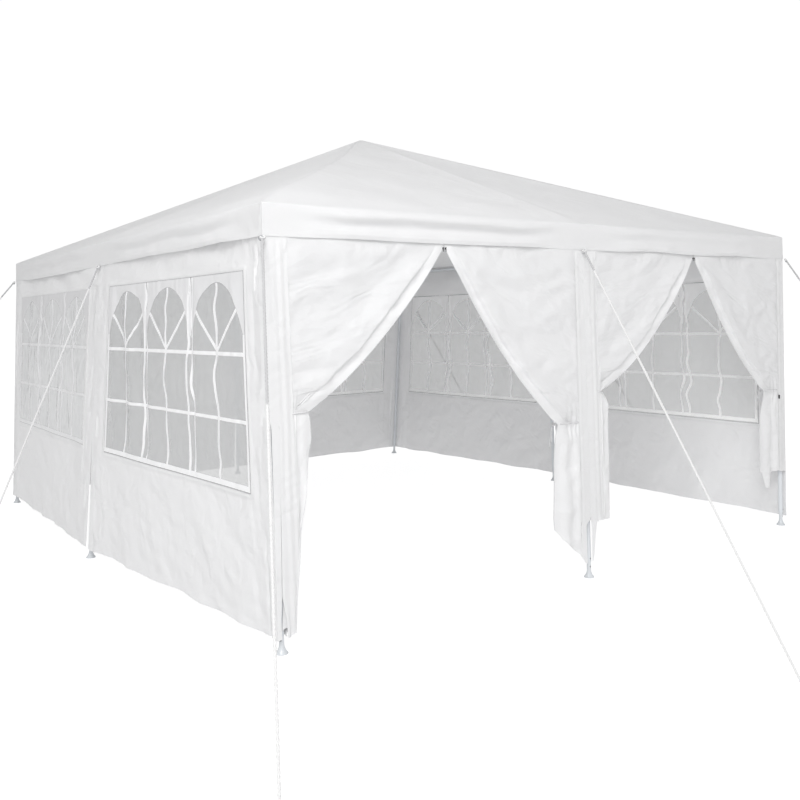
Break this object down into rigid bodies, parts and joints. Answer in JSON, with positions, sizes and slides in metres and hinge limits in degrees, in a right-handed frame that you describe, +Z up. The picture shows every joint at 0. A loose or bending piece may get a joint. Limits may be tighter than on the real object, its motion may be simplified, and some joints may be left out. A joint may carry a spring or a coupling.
{
  "type": "marquee tent",
  "caption": "White party marquee on a steel pole frame, with a pyramid roof, arched-window walls, tied-back zip doorways and taut guy ropes.",
  "frame": {"origin": "on the ground under the middle of the tent, which is the middle of the box round the tent and its pegs", "axes": "+Z up, +X along the front from left to right as seen from outside, +Y from the front to the back"},
  "size_m": [7.012, 7.712, 2.8399],
  "materials": {
    "white_fabric": "coated woven sheet, satin white",
    "clear_film": "clear soft plastic film with printed white bars",
    "steel_tube": "light grey coated steel tube",
    "steel_joint": "light grey coated steel",
    "white_rope": "white twisted cord"
  },
  "bodies": {
    "root": {"post_front_left": "steel_tube", "post_front_middle": "steel_tube", "post_front_right": "steel_tube", "post_right_middle": "steel_tube", "post_back_right": "steel_tube", "post_back_middle": "steel_tube", "post_back_left": "steel_tube", "post_left_middle": "steel_tube", "corner_joint_front_left": "steel_joint", "corner_joint_front_right": "steel_joint", "corner_joint_back_right": "steel_joint", "corner_joint_back_left": "steel_joint", "hip_rafter_front_left": "steel_tube", "hip_rafter_front_right": "steel_tube", "hip_rafter_back_right": "steel_tube", "hip_rafter_back_left": "steel_tube", "middle_rafter_front": "steel_tube", "middle_rafter_right": "steel_tube", "middle_rafter_back": "steel_tube", "middle_rafter_left": "steel_tube", "crown_joint": "steel_joint", "eave_rail_front": "steel_tube", "eave_rail_right": "steel_tube", "eave_rail_back": "steel_tube", "eave_rail_left": "steel_tube", "roof_panel_front": "white_fabric", "roof_panel_right": "white_fabric", "roof_panel_back": "white_fabric", "roof_panel_left": "white_fabric", "right_wall_front_bay": "white_fabric", "right_window_front_bay": "clear_film", "right_wall_back_bay": "white_fabric", "right_window_back_bay": "clear_film", "back_wall_right_bay": "white_fabric", "back_window_right_bay": "clear_film", "back_wall_left_bay": "white_fabric", "back_window_left_bay": "clear_film", "left_wall_back_bay": "white_fabric", "left_window_back_bay": "clear_film", "left_wall_front_bay": "white_fabric", "left_window_front_bay": "clear_film", "door_leaf_left_bay_left": "white_fabric", "door_leaf_left_bay_right": "white_fabric", "door_leaf_right_bay_left": "white_fabric", "door_leaf_right_bay_right": "white_fabric", "guy_rope_front_left": "white_rope", "guy_rope_front_middle": "white_rope", "guy_rope_front_right": "white_rope", "guy_rope_right_middle": "white_rope", "guy_rope_back_right": "white_rope", "guy_rope_back_middle": "white_rope", "guy_rope_back_left": "white_rope", "guy_rope_left_middle": "white_rope"}
  },
  "joints": []
}
